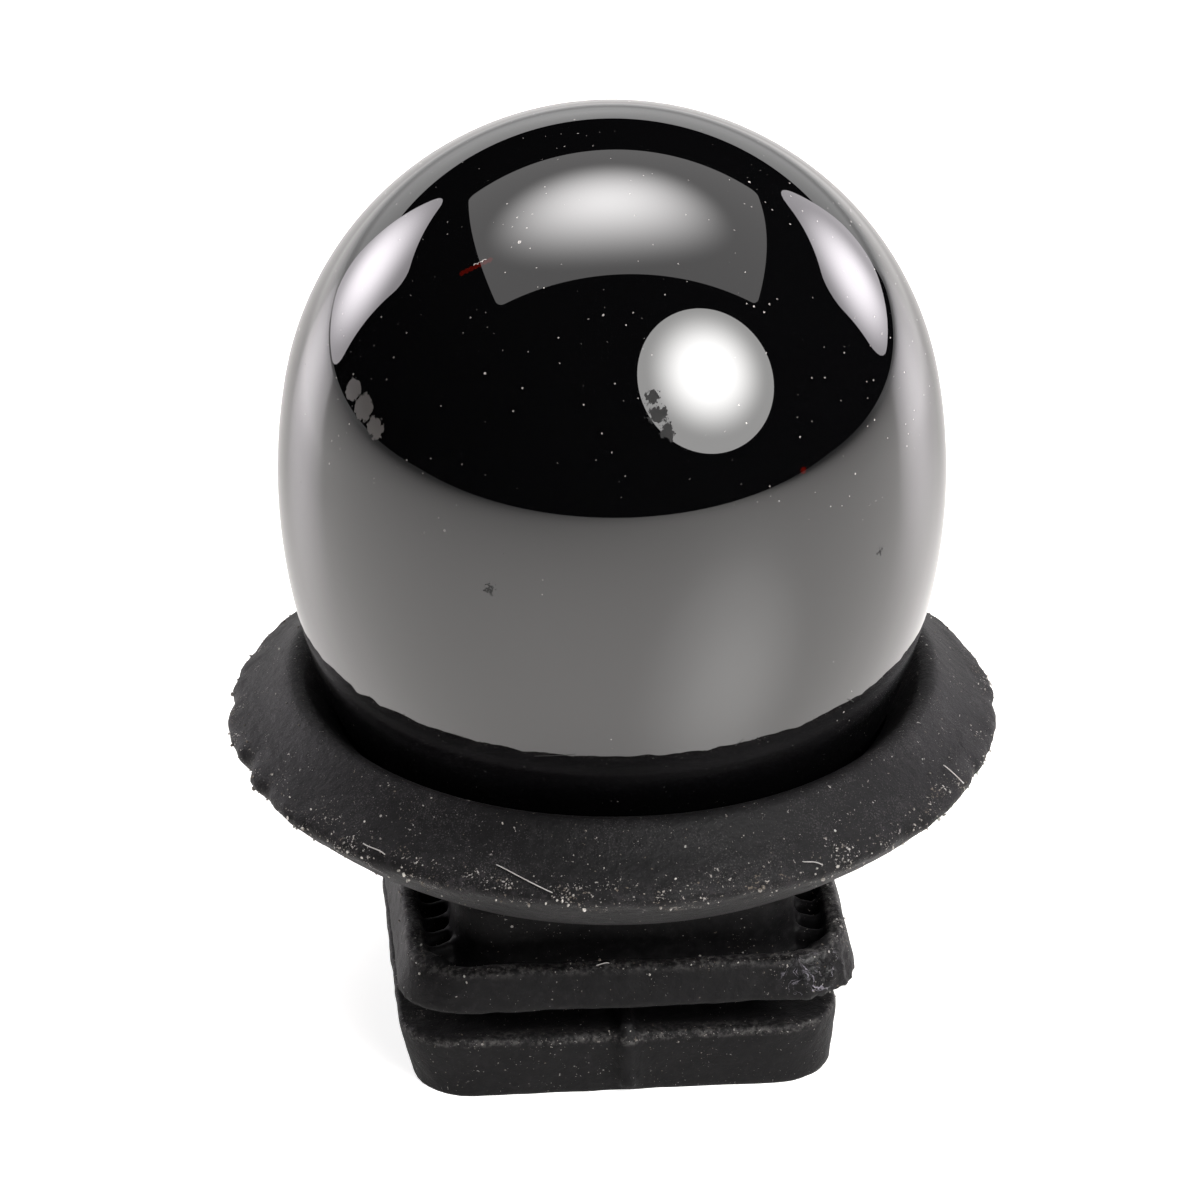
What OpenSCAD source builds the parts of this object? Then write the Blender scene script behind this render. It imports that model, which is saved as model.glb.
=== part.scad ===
// Dome light sensor in a rubber panel grommet.
// Frame: origin at the centre of the plug's bottom face, +Z up, front is -Y. Millimetres.

/* [Dome window] */
// Outer radius of the dome at its widest level
dome_r = 10; // [9:0.1:11]
// Radius of the round crown
crown_r = 9.88; // [9.5:0.01:9.98]
// Radius of the long curve that draws the wall in below the widest level
belly_r = 18; // [15:0.5:24]
// Height of the widest level above the plug's bottom
dome_widest_z = 17.7; // [17.5:0.1:18.5]
// Wall thickness of the dome
dome_wall = 1.2; // [0.8:0.1:1.5]

/* [Rubber collar] */
// Outer radius of the collar's rim
rim_r = 11.69; // [11.3:0.01:12]
// Height of the rim
rim_z = 9.62; // [9.5:0.01:9.8]
// Radius of the collar's crest, beside the dome
crest_r = 9.6; // [9.5:0.05:9.8]
// Height of the crest
crest_z = 11.3; // [11.2:0.05:11.6]
// Radius of the flat seat under the collar, round the neck
seat_r = 8; // [7.8:0.05:8.4]
// Height of the flat seat
seat_z = 6.9; // [6.8:0.05:7]

/* [Rubber plug] */
// Half the width of the square neck
neck_half = 5.2; // [5.1:0.05:5.5]
// Half the width of the sealing flange at the top of its lip
flange_half = 6.55; // [6.4:0.01:6.7]
// Half the width of the sealing flange at its underside
flange_foot_half = 6.95; // [6.8:0.01:7.1]
// Height of the flange's underside
flange_z = 3.2; // [3:0.1:3.3]
// Height of the flange's upturned lip
lip_z = 4.6; // [4.4:0.1:4.8]
// Height of the trough's floor, inside the lip
trough_z = 3.8; // [3.7:0.05:4.1]
// Half the width of the core in the panel groove
groove_half = 5.1; // [5:0.1:5.6]
// Half the width of the barb block at its bottom
block_half = 6.3; // [6.1:0.05:6.35]
// Half the width of the barb block at its top edge
barb_half = 6.5; // [6.4:0.05:6.6]
// Height of the barb block
block_h = 2; // [1.8:0.1:2.2]
// Ribs on each side of the trough
rib_count = 12; // [6:1:13]

/* [Socket] */
// Half the width of the square stem
stem_half = 4.1; // [4:0.05:4.2]
// Half the width of the socket
socket_half = 3.1; // [2.9:0.05:3.2]
// How far the stem is set back from the plug's bottom
stem_setback = 0.6; // [0.4:0.1:0.8]
// Height of the socket's floor
socket_top_z = 6; // [5.8:0.1:6.2]
// Width of a square terminal pin
pin_w = 0.64; // [0.5:0.01:0.7]
// Distance between pins
pin_pitch = 2; // [1.8:0.1:2.1]
// Distance of the pin row behind the centre
pin_row_y = 1.9; // [1.8:0.05:2]

/* [Circuit board] */
// Radius of the board
board_r = 6.3; // [6:0.1:6.4]
// Height of the board's underside
board_z = 11.6; // [11.5:0.1:11.8]
// Thickness of the board
board_t = 0.8; // [0.6:0.1:1]

/* [Hidden] */
$fn = 96;
fit = 0.05;          // slip fit between neighbouring pieces
far = 40;            // a size larger than the whole part

// Dome: the crown's sphere touches the belly's arc from inside
crown_c = sqrt(pow(belly_r - crown_r, 2) - pow(belly_r - dome_r, 2));
belly_x = dome_r - belly_r;
join_a = atan2(crown_c, -belly_x);
join_z = dome_widest_z + belly_r * sin(join_a);
waist_r = 8.35;      // straight skirt below the belly
waist_z = dome_widest_z - sqrt(pow(belly_r, 2) - pow(waist_r - belly_x, 2));
skirt_bore = 7;
foot_r = 9.2;        // the foot bead that the collar holds
foot_h = 0.7;
foot_z = 8.8;

// Housing
disc_t = 0.7;
disc_z = foot_z - fit - disc_t;
boss_r = 6.9;
boss_z = 10.2;
seal_bed_r = 6.1;    // floor of the seal's groove
seal_wire_r = (skirt_bore - seal_bed_r) / 2 - 0.01;
seal_z = 9.6;
well_r = 3.6;        // well for the sealing resin round the pins
well_z = 9.3;
post_r = 0.8;
post_ring = 4.9;
hook_r = skirt_bore - 0.1;
hook_w = 2.4;
pin_xs = [-pin_pitch, 0, pin_pitch];
pin_low_z = 1.6;

// Board and what stands on it
board_top_z = board_z + board_t;
pin_top_z = board_top_z + 0.5;
pin_hole_r = 0.5;
diode = [2.6, 3, 1.1];
diode_x = 2.5;
diode_y = -1.4;
ring_r = 5.6;
ring_wall = 0.7;
ring_top_z = 15.4;
wall_low_z = 13.6;
wall_t = 0.6;
cap_sphere_r = 6.2;  // the diffuser's outer curve
cap_t = 0.8;

// A square of half width h with round corners of radius r
module round_square(h, r) {
    square([2 * h, 2 * (h - r)], center = true);
    square([2 * (h - r), 2 * h], center = true);
    for (sx = [-1, 1], sy = [-1, 1])
        translate([sx * (h - r), sy * (h - r)]) circle(r = r);
}

module round_block(h, r, z0, z1) {
    translate([0, 0, z0]) linear_extrude(z1 - z0) round_square(h, r);
}

// Points of an arc of radius r round [x, z], from angle a0 to a1
function arc(x, z, r, a0, a1, n) =
    [for (i = [0:n]) let (a = a0 + (a1 - a0) * i / n) [x + r * cos(a), z + r * sin(a)]];

// The dome's solid of revolution, drawn in by inset from its outer surface
module dome_section(inset) {
    intersection() {
        translate([belly_x, dome_widest_z]) circle(r = belly_r - inset, $fn = 360);
        translate([0, waist_z]) square([far, join_z - waist_z]);
    }
    intersection() {
        translate([0, dome_widest_z + crown_c]) circle(r = crown_r - inset, $fn = 360);
        translate([0, dome_widest_z + 0.5]) square([far, far]);
    }
}

module dome_window() {
    color([0.02, 0.02, 0.022])
    rotate_extrude($fn = 180) {
        difference() {
            dome_section(0);
            dome_section(dome_wall);
            translate([0, waist_z - 1]) square([skirt_bore, 1.2]);
        }
        translate([skirt_bore, foot_z]) square([waist_r - skirt_bore, waist_z - foot_z + 0.1]);
        translate([skirt_bore, foot_z]) square([foot_r - skirt_bore, foot_h]);
    }
}

// Outline of the rubber collar: seat, hollowed underside, round rim, sloping top and round crest
module collar_section() {
    lip_r = 0.27;
    crest_round = 0.35;
    under_w = rim_r - seat_r;
    under_h = rim_z - seat_z;
    polygon(concat(
        [[0, seat_z],
         [seat_r, seat_z],
         [seat_r + 0.28 * under_w, seat_z + 0.16 * under_h],
         [seat_r + 0.54 * under_w, seat_z + 0.40 * under_h],
         [seat_r + 0.78 * under_w, seat_z + 0.68 * under_h]],
        arc(rim_r - lip_r, rim_z, lip_r, -40, 52, 7),
        arc(crest_r, crest_z - crest_round, crest_round, 52, 140, 6),
        [[waist_r + fit, waist_z], [0, waist_z]]));
}

// The room inside the rubber for the dome's foot, the housing's disc and its stem
module grommet_hollow() {
    rotate_extrude() {
        square([waist_r + fit, crest_z]);
        translate([0, disc_z - fit]) square([foot_r + fit, foot_h + disc_t + 3 * fit]);
    }
}

// Small slanting ribs that brace the flange's lip, on the left and on the right
module trough_ribs() {
    reach = flange_half - neck_half;
    rib_pitch = 0.85;
    rib_w = 0.3;
    rib_h = 0.5;
    rib_slant = 30;
    for (side = [-1, 1], i = [0:rib_count - 1]) {
        y = (i - (rib_count - 1) / 2) * rib_pitch;
        translate([side * (neck_half + reach / 2 - 0.1), y, trough_z])
            rotate(-side * rib_slant)
                cube([reach * 1.1, rib_w, 2 * rib_h], center = true);
    }
}

// Four leaning faces that cut a block's sides from half width low_half at z0 to high_half at z1
module leaning_sides(low_half, high_half, z0, z1) {
    lean = atan2(high_half - low_half, z1 - z0);
    for (turn = [0:90:270])
        rotate(turn) translate([low_half, -far / 2, z0])
            rotate([0, lean, 0]) translate([0, 0, -1]) cube([2, far, z1 - z0 + 2]);
}

// The parting line of the mould, down the front and the back
module mould_seam() {
    seam_w = 0.34;
    seam_h = 0.13;
    for (turn = [0, 180]) rotate(turn) {
        translate([-seam_w / 2, -block_half - seam_h, 0.3]) cube([seam_w, 1, 1.5]);
        translate([-seam_w / 2, -barb_half + 0.05, 1.7]) cube([seam_w, 1.5, 0.3 + seam_h]);
        translate([-seam_w / 2, -groove_half - seam_h, 1.9]) cube([seam_w, 0.5, 1.4]);
    }
}

module grommet() {
    color([0.06, 0.058, 0.062])
    difference() {
        union() {
            rotate_extrude() collar_section();
            round_block(neck_half, 1.3, trough_z - 0.5, seat_z + 0.2);
            difference() {
                round_block(flange_foot_half, 1.9, flange_z, lip_z);
                leaning_sides(flange_foot_half, flange_half, flange_z, lip_z);
                round_block(flange_half - 0.5, 1.2, trough_z, far);
            }
            intersection() {
                trough_ribs();
                round_block(flange_half - 0.1, 1.7, flange_z, lip_z);
            }
            round_block(groove_half, 1.2, 1, flange_z + 0.5);
            difference() {
                round_block(barb_half, 2.1, 0, block_h);
                leaning_sides(block_half, barb_half, 0, block_h);
            }
            mould_seam();
        }
        intersection() {
            grommet_hollow();
            translate([0, 0, disc_z - fit + far / 2]) cube(far, center = true);
        }
        round_block(stem_half + fit, 0.6, -1, disc_z);
    }
}

module sensor_housing() {
    color([0.035, 0.035, 0.038])
    difference() {
        union() {
            round_block(stem_half, 0.55, stem_setback, disc_z + 0.1);
            translate([0, 0, disc_z]) cylinder(r = foot_r, h = disc_t);
            difference() {
                translate([0, 0, disc_z]) cylinder(r = boss_r, h = boss_z - disc_z);
                translate([0, 0, seal_z - seal_wire_r - 0.02]) difference() {
                    cylinder(r = far, h = 2 * seal_wire_r + 0.04);
                    cylinder(r = seal_bed_r, h = far, center = true);
                }
            }
            for (a = [45:90:315]) rotate(a)
                translate([post_ring, 0, boss_z - 0.1]) cylinder(r = post_r, h = board_z - boss_z + 0.1);
            for (turn = [0, 180]) rotate(turn) board_hook();
        }
        round_block(socket_half, 0.3, -1, socket_top_z);
        translate([0, 0, well_z]) cylinder(r = well_r, h = far);
        for (x = pin_xs)
            translate([x, pin_row_y, 0]) cylinder(r = pin_w * 0.75, h = far);
    }
}

// A springy hook that holds the board's edge down
module board_hook() {
    clear = board_r + 0.1;
    nose_x = board_r - 0.35;
    nose_h = 0.6;
    difference() {
        translate([nose_x, -hook_w / 2, boss_z - 0.1])
            cube([hook_r - nose_x, hook_w, board_top_z - boss_z + 0.1 + nose_h]);
        translate([clear - 1, -far / 2, boss_z]) cube([1, far, board_top_z - boss_z + fit]);
        translate([nose_x, -far / 2, board_top_z + 0.25]) rotate([0, -25, 0]) cube([2, far, 2]);
    }
}

module dome_seal() {
    color([0.05, 0.05, 0.05])
    rotate_extrude() translate([(skirt_bore + seal_bed_r) / 2, seal_z]) circle(r = seal_wire_r, $fn = 32);
}

// Resin cast in the housing's well, round the three pins
module pin_seal() {
    color([0.1, 0.07, 0.05])
    difference() {
        translate([0, 0, well_z]) cylinder(r = well_r, h = 0.6);
        for (x = pin_xs)
            translate([x, pin_row_y, 0]) cube([pin_w, pin_w, far], center = true);
    }
}

// A square pin with a pointed lower end, from the socket up through the board
module terminal_pin(x) {
    point_h = 0.4;
    color([0.75, 0.74, 0.7])
    translate([x, pin_row_y, 0]) {
        translate([0, 0, (pin_low_z + pin_top_z) / 2])
            cube([pin_w, pin_w, pin_top_z - pin_low_z], center = true);
        translate([0, 0, pin_low_z - point_h])
            rotate(45) cylinder(r1 = pin_w * 0.3, r2 = pin_w / sqrt(2), h = point_h, $fn = 4);
    }
}

module circuit_board() {
    color([0.05, 0.22, 0.1])
    translate([0, 0, board_z]) difference() {
        cylinder(r = board_r, h = board_t);
        for (x = pin_xs) translate([x, pin_row_y, -1]) cylinder(r = pin_hole_r, h = 3, $fn = 32);
        for (side = [-1, 1]) translate([side * board_r, 0, 0])
            cube([0.3, hook_w + 0.2, 3], center = true);
    }
}

// Solder fillets where the pins come through the board
module solder_joints() {
    color([0.7, 0.7, 0.72])
    for (x = pin_xs) translate([x, pin_row_y, board_top_z]) difference() {
        cylinder(r1 = 0.78, r2 = 0.5, h = 0.4, $fn = 32);
        cube([pin_w, pin_w, 2], center = true);
    }
}

// A surface-mounted photodiode: resin body, bevelled window and two metal feet
module photodiode(side) {
    color([0.09, 0.07, 0.06])
    translate([side * diode_x, diode_y, board_top_z]) {
        translate([0, 0, 0.1 + diode[2] / 2]) cube(diode, center = true);
        translate([0, 0, diode[2] - 0.1]) cylinder(r = 1, h = 0.35, $fn = 48);
        for (end = [-1, 1]) translate([0, end * (diode[1] / 2), 0.1])
            cube([0.8, 0.7, 0.2], center = true);
    }
}

// Ring round the photodiodes with a wall between them, so that each sees one half of the sky
module light_baffle() {
    color([0.03, 0.03, 0.03])
    translate([0, 0, board_top_z]) {
        difference() {
            cylinder(r = ring_r, h = ring_top_z - board_top_z);
            translate([0, 0, -1]) cylinder(r = ring_r - ring_wall, h = far);
        }
        translate([0, 0, (wall_low_z + ring_top_z) / 2 - board_top_z])
            cube([wall_t, 2 * (ring_r - ring_wall) + 0.2, ring_top_z - wall_low_z], center = true);
    }
}

// Milky cap on the baffle that spreads the light
module diffuser() {
    sphere_z = ring_top_z - 1.6;
    color([0.9, 0.9, 0.88])
    intersection() {
        rotate_extrude() difference() {
            translate([0, sphere_z]) circle(r = cap_sphere_r, $fn = 180);
            translate([0, sphere_z]) circle(r = cap_sphere_r - cap_t, $fn = 180);
            translate([-far, -far / 2]) square([far, 2 * far]);
        }
        translate([0, 0, ring_top_z]) cylinder(r = far, h = far);
    }
}

// A chip part with raised metal ends, hung under the board at [x, y]
module chip(x, y, size, turn = 0) {
    end_l = size[0] * 0.18;
    translate([x, y, board_z - size[2] / 2]) rotate(turn) {
        cube([size[0] - 0.1, size[1] - 0.06, size[2] - 0.06], center = true);
        for (end = [-1, 1]) translate([end * (size[0] - end_l) / 2, 0, 0])
            cube([end_l, size[1], size[2]], center = true);
    }
}

module load_resistor_left() { color([0.06, 0.06, 0.07]) chip(-3, -1.2, [1.6, 0.8, 0.45], 90); }
module load_resistor_right() { color([0.06, 0.06, 0.07]) chip(3, -1.2, [1.6, 0.8, 0.45], 90); }
module filter_capacitor() { color([0.55, 0.42, 0.3]) chip(-0.9, -3.9, [1.6, 0.8, 0.8]); }
module supply_capacitor() { color([0.55, 0.42, 0.3]) chip(1.3, -3.9, [1.6, 0.8, 0.8]); }
module protection_diode() { color([0.05, 0.05, 0.05]) chip(0, 4.2, [2, 1.25, 0.9]); }

// Five-legged amplifier under the middle of the board
module amplifier_chip() {
    body = [2.9, 1.6, 0.95];
    leg = [0.36, 0.62, 0.16];
    color([0.04, 0.04, 0.045])
    translate([0, -1.3, board_z]) {
        translate([0, 0, -0.08 - body[2] / 2]) cube(body, center = true);
        for (x = [-0.95, 0, 0.95]) translate([x, -body[1] / 2 - 0.25, -leg[2] / 2]) cube(leg, center = true);
        for (x = [-0.95, 0.95]) translate([x, body[1] / 2 + 0.25, -leg[2] / 2]) cube(leg, center = true);
        for (x = [-0.95, 0, 0.95]) translate([x, -body[1] / 2 - 0.06, -0.3]) cube([leg[0], 0.14, 0.6], center = true);
        for (x = [-0.95, 0.95]) translate([x, body[1] / 2 + 0.06, -0.3]) cube([leg[0], 0.14, 0.6], center = true);
    }
}

dome_window();
grommet();
sensor_housing();
dome_seal();
pin_seal();
terminal_pin(-pin_pitch);  // terminal_pin_left
terminal_pin(0);  // terminal_pin_common
terminal_pin(pin_pitch);  // terminal_pin_right
circuit_board();
solder_joints();
photodiode(-1);  // photodiode_left
photodiode(1);  // photodiode_right
light_baffle();
diffuser();
amplifier_chip();
load_resistor_left();
load_resistor_right();
filter_capacitor();
supply_capacitor();
protection_diode();
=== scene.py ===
import math
import random

import bpy
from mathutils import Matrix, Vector, noise


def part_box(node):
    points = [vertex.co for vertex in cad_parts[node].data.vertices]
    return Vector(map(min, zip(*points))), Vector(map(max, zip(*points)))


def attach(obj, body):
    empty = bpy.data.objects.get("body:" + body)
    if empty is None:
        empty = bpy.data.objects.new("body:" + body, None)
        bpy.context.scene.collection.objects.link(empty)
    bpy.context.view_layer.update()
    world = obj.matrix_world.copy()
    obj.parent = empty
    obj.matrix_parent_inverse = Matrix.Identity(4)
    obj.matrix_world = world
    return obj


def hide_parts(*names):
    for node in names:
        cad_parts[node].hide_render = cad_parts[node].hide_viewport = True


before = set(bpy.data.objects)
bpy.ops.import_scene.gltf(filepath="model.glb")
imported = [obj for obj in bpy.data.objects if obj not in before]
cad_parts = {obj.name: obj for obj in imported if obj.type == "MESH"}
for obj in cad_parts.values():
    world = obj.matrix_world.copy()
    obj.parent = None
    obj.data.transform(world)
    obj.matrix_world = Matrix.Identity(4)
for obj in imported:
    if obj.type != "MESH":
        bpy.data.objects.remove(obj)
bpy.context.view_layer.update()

# The sensor stands on its plug on a pale table. The CAD solids give the dome's and the rubber's overall
# sizes, and the inner parts keep the places the CAD gives them.
# A long lens looks at it from the front, a little from its left, and down on the dome.
mm = 0.001
dome_low, dome_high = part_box("dome_window")
rubber_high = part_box("grommet")[1]
dome_r = (dome_high[0] - dome_low[0]) / 2
crown_r = 0.988 * dome_r
belly_r = 1.8 * dome_r
crown_c = math.sqrt((belly_r - crown_r) ** 2 - (belly_r - dome_r) ** 2)
widest_z = dome_high[2] - crown_r - crown_c

look_turn = math.radians(-5)
look_down = math.radians(26.68)
look_from = 20 * dome_r
bpy.ops.object.select_all(action="DESELECT")
bpy.ops.object.camera_add(
    location=(look_from * math.sin(look_turn) * math.cos(look_down),
              -look_from * math.cos(look_turn) * math.cos(look_down),
              widest_z + look_from * math.sin(look_down)),
    rotation=(math.pi / 2 - look_down, 0, look_turn))
camera = bpy.context.object
camera.data.lens = 200.5
camera.data.sensor_width = 36
camera.data.clip_start = 0.01
camera.data.shift_x = -0.010
camera.data.shift_y = -0.1063
bpy.context.scene.camera = camera


# ---------------------------------------------------------------- dome
# The dome is one moulding of smoked resin, nearly black, with a polished skin. A round crown runs
# into a long belly that draws in to a straight skirt, and a bead at its foot is held by the rubber.
wall_t = 1.2 * mm
waist_r = 8.35 * mm
skirt_bore = 7.0 * mm
foot_h = 0.7 * mm
belly_x = dome_r - belly_r
join_a = math.atan2(crown_c, -belly_x)
waist_a = -math.acos((waist_r - belly_x) / belly_r)
ring = {"r": 0.0, "z": 0.0}


def first_ring(name, radius, height, sides):
    """A small round cap in edit mode, with its edge selected, from which rings are drawn."""
    bpy.ops.object.select_all(action="DESELECT")
    bpy.ops.mesh.primitive_circle_add(vertices=sides, radius=radius, fill_type="TRIFAN",
                                      location=(0, 0, height))
    piece = bpy.context.object
    piece.name = name
    bpy.ops.object.transform_apply(location=True, rotation=True, scale=True)
    bpy.ops.object.mode_set(mode="EDIT")
    bpy.ops.mesh.select_all(action="SELECT")
    bpy.ops.mesh.region_to_loop()
    ring["r"] = radius
    ring["z"] = height
    return piece


def draw_ring(radius, height):
    """Draws the selected edge on to a new radius and height."""
    bpy.ops.mesh.extrude_region_move(TRANSFORM_OT_translate={"value": (0, 0, height - ring["z"])})
    bpy.ops.transform.resize(value=(radius / ring["r"], radius / ring["r"], 1),
                             center_override=(0, 0, height))
    ring["r"] = radius
    ring["z"] = height


def close_rings():
    """Gathers the last ring into a point on the axis and turns the faces outwards."""
    bpy.ops.mesh.merge(type="CENTER")
    bpy.ops.mesh.select_all(action="SELECT")
    bpy.ops.mesh.normals_make_consistent(inside=False)
    bpy.ops.object.mode_set(mode="OBJECT")


def draw_arc(x, z, radius, start, end, steps, skip_first=False):
    """Rings along an arc of the section; angles from the level line, in radians."""
    for i in range(1 if skip_first else 0, steps + 1):
        a = start + (end - start) * i / steps
        draw_ring(x + radius * math.cos(a), z + radius * math.sin(a))


crown_z = widest_z + crown_c
cap_a = math.radians(0.6)
near_top_a = math.radians(88.5)
dome = first_ring("smoked_dome", crown_r * math.sin(cap_a), crown_z + crown_r * math.cos(cap_a), 160)
draw_arc(0, crown_z, crown_r, near_top_a, join_a, 56)
draw_arc(belly_x, widest_z, belly_r, join_a, waist_a, 34, skip_first=True)
foot_r = 9.2 * mm
foot_z = dome_low[2]
draw_ring(waist_r, foot_z + foot_h)
draw_ring(foot_r, foot_z + foot_h)
draw_ring(foot_r, foot_z)
draw_ring(skirt_bore, foot_z)
draw_arc(belly_x, widest_z, belly_r - wall_t, -math.acos((skirt_bore - belly_x) / (belly_r - wall_t)),
         join_a, 24)
draw_arc(0, crown_z, crown_r - wall_t, join_a, near_top_a, 30, skip_first=True)
close_rings()
bpy.ops.object.shade_smooth_by_angle(angle=math.radians(35))


def new_finish(name):
    """A finish with its node tree, its shader, and the piece's own coordinates."""
    finish = bpy.data.materials.new(name)
    finish.use_nodes = True
    tree = finish.node_tree
    shader = tree.nodes["Principled BSDF"]
    place = tree.nodes.new("ShaderNodeTexCoord").outputs["Object"]
    return finish, tree, shader, place


def figure(tree, kind, first, second):
    """One sum on two values, each a socket or a number."""
    node = tree.nodes.new("ShaderNodeMath")
    node.operation = kind
    for socket, value in zip(node.inputs, (first, second)):
        if isinstance(value, (int, float)):
            socket.default_value = value
        else:
            tree.links.new(value, socket)
    return node.outputs["Value"]


def times(tree, first, second):
    return figure(tree, "MULTIPLY", first, second)


def plus(tree, first, second):
    return figure(tree, "ADD", first, second)


def less(tree, first, second):
    return figure(tree, "SUBTRACT", first, second)


def larger(tree, first, second):
    return figure(tree, "MAXIMUM", first, second)


def without_sign(tree, value):
    return figure(tree, "ABSOLUTE", value, 0)


def split_axes(tree, place):
    """The X, Y and Z of a place, as three sockets."""
    axes = tree.nodes.new("ShaderNodeSeparateXYZ")
    tree.links.new(place, axes.inputs["Vector"])
    return axes.outputs["X"], axes.outputs["Y"], axes.outputs["Z"]


def cloud(tree, place, grain, detail=4.0, rough=0.55):
    """Cloudy noise whose blotches are about one grain across, in metres."""
    node = tree.nodes.new("ShaderNodeTexNoise")
    node.inputs["Scale"].default_value = 1 / grain
    node.inputs["Detail"].default_value = detail
    node.inputs["Roughness"].default_value = rough
    tree.links.new(place, node.inputs["Vector"])
    return node.outputs["Fac"]


def steps_between(tree, value, low, high):
    """0 below low, 1 above high, and a smooth rise between."""
    node = tree.nodes.new("ShaderNodeMapRange")
    node.interpolation_type = "SMOOTHSTEP"
    node.inputs["From Min"].default_value = low
    node.inputs["From Max"].default_value = high
    tree.links.new(value, node.inputs["Value"])
    return node.outputs["Result"]


def grains(tree, place, pitch, size, share):
    """Round dust grains: at most one in each cell of pitch, of up to that size, in a share of cells."""
    cells = tree.nodes.new("ShaderNodeTexVoronoi")
    cells.inputs["Scale"].default_value = 1 / pitch
    tree.links.new(place, cells.inputs["Vector"])
    parts = tree.nodes.new("ShaderNodeSeparateColor")
    tree.links.new(cells.outputs["Color"], parts.inputs["Color"])
    reach = times(tree, parts.outputs["Green"], size / pitch)
    near = figure(tree, "LESS_THAN", cells.outputs["Distance"], reach)
    kept = figure(tree, "LESS_THAN", parts.outputs["Red"], share)
    return times(tree, near, kept)


def blend_colours(tree, amount, first, second):
    """first where amount is 0, second where it is 1; each a colour or a socket."""
    node = tree.nodes.new("ShaderNodeMix")
    node.data_type = "RGBA"
    tree.links.new(amount, node.inputs["Factor"])
    for socket, colour in ((node.inputs["A"], first), (node.inputs["B"], second)):
        if isinstance(colour, tuple):
            socket.default_value = (*colour, 1)
        else:
            tree.links.new(colour, socket)
    return node.outputs["Result"]


def raise_surface(tree, shader, height, depth, strength=1.0):
    """Bump of that depth, in metres."""
    node = tree.nodes.new("ShaderNodeBump")
    node.inputs["Distance"].default_value = depth
    node.inputs["Strength"].default_value = strength
    tree.links.new(height, node.inputs["Height"])
    if shader.inputs["Normal"].is_linked:
        tree.links.new(shader.inputs["Normal"].links[0].from_socket, node.inputs["Normal"])
    tree.links.new(node.outputs["Normal"], shader.inputs["Normal"])


def near_to(tree, place, spot, radius, ragged):
    """1 within about that radius of a spot on the piece, with a ragged edge; all in metres."""
    gap = tree.nodes.new("ShaderNodeVectorMath")
    gap.operation = "DISTANCE"
    gap.inputs[1].default_value = spot
    tree.links.new(place, gap.inputs[0])
    frayed = less(tree, cloud(tree, place, radius * 0.7, 5, 0.7), 0.5)
    wobble = times(tree, frayed, ragged)
    return figure(tree, "LESS_THAN", plus(tree, gap.outputs["Value"], wobble), radius)


def marks_at(tree, place, marks):
    """1 on any of the marks. Each is a spot on the piece, a radius and a raggedness, in millimetres."""
    covered = None
    for spot, radius, ragged in marks:
        mark = near_to(tree, place, tuple(v * mm for v in spot), radius * mm, ragged * mm)
        covered = larger(tree, covered, mark) if covered else mark
    return covered


def ragged_specks(tree, place, grain, crowd, least):
    """Small ragged specks where fine noise stands above the least value; crowd, 0 to 1, adds more."""
    raised = plus(tree, cloud(tree, place, grain, 2, 0.6), times(tree, crowd, 0.11))
    return steps_between(tree, raised, least, least + 0.02)


smoked, tree, shader, place = new_finish("smoked_resin")
dust = grains(tree, place, 0.62 * mm, 0.055 * mm, 0.26)
fine_dust = grains(tree, place, 0.22 * mm, 0.030 * mm, 0.45)
patchy = steps_between(tree, cloud(tree, place, 4 * mm), 0.40, 0.60)
x, y, z = split_axes(tree, place)
patchy = larger(tree, patchy, steps_between(tree, x, 2 * mm, 6 * mm))
specks = larger(tree, dust, times(tree, fine_dust, patchy))
dusty_part = larger(tree, steps_between(tree, z, 19 * mm, 21.5 * mm),
                    steps_between(tree, cloud(tree, place, 3 * mm), 0.60, 0.64))
specks = times(tree, specks, dusty_part)
haze = steps_between(tree, cloud(tree, place, 2.2 * mm, 6), 0.5, 0.8)
worn = marks_at(tree, place, (((-7.92, -4.50, 23.0), 0.34, 0.6), ((-7.66, -5.10, 22.70), 0.42, 0.7),
                              ((-7.32, -5.78, 22.33), 0.32, 0.6), ((8.6, 3.6, 21.3), 0.4, 1.4)))
scuffed = marks_at(tree, place, (((0.40, -8.41, 24.25), 0.20, 0.8), ((0.55, -8.65, 23.83), 0.26, 0.9),
                                 ((0.80, -8.86, 23.40), 0.20, 0.8), ((-4.3, -9.0, 18.65), 0.12, 1.0),
                                 ((7.2, -6.9, 18.3), 0.10, 0.8), ((-3.2, 8.4, 22.6), 0.3, 1.2)))
red_scrape = [((-4.71 + 0.133 * i, -4.47 - 0.01 * i, 26.54 + 0.068 * i), 0.085, 0.06) for i in range(7)]
red_fleck = marks_at(tree, place, [((4.77, -8.24, 21.69), 0.10, 0.15)] + red_scrape)
# Painted highlight: a thin white line laid in pale colour on the red scrape.
highlight_line_spots = [((-4.28 + 0.06 * i, -4.46, 26.81 + 0.03 * i), 0.04, 0) for i in range(5)]
painted_highlight_line = marks_at(tree, place, [((-4.34, -4.44, 26.79), 0.045, 0)] + highlight_line_spots)
skin = blend_colours(tree, larger(tree, specks, painted_highlight_line),
                     (0.0016, 0.0016, 0.0018), (0.45, 0.42, 0.40))
skin = blend_colours(tree, worn, skin, (0.055, 0.050, 0.047))
tree.links.new(blend_colours(tree, red_fleck, skin, (0.045, 0.002, 0.001)), shader.inputs["Base Color"])
dull = times(tree, larger(tree, specks, worn), 0.30)
dull = larger(tree, dull, times(tree, scuffed, 0.95))
roughness = plus(tree, times(tree, haze, 0.015), plus(tree, dull, 0.012))
tree.links.new(roughness, shader.inputs["Roughness"])
shader.inputs["IOR"].default_value = 1.85
dome.data.materials.append(smoked)
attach(dome, "root")
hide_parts("dome_window")


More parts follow.
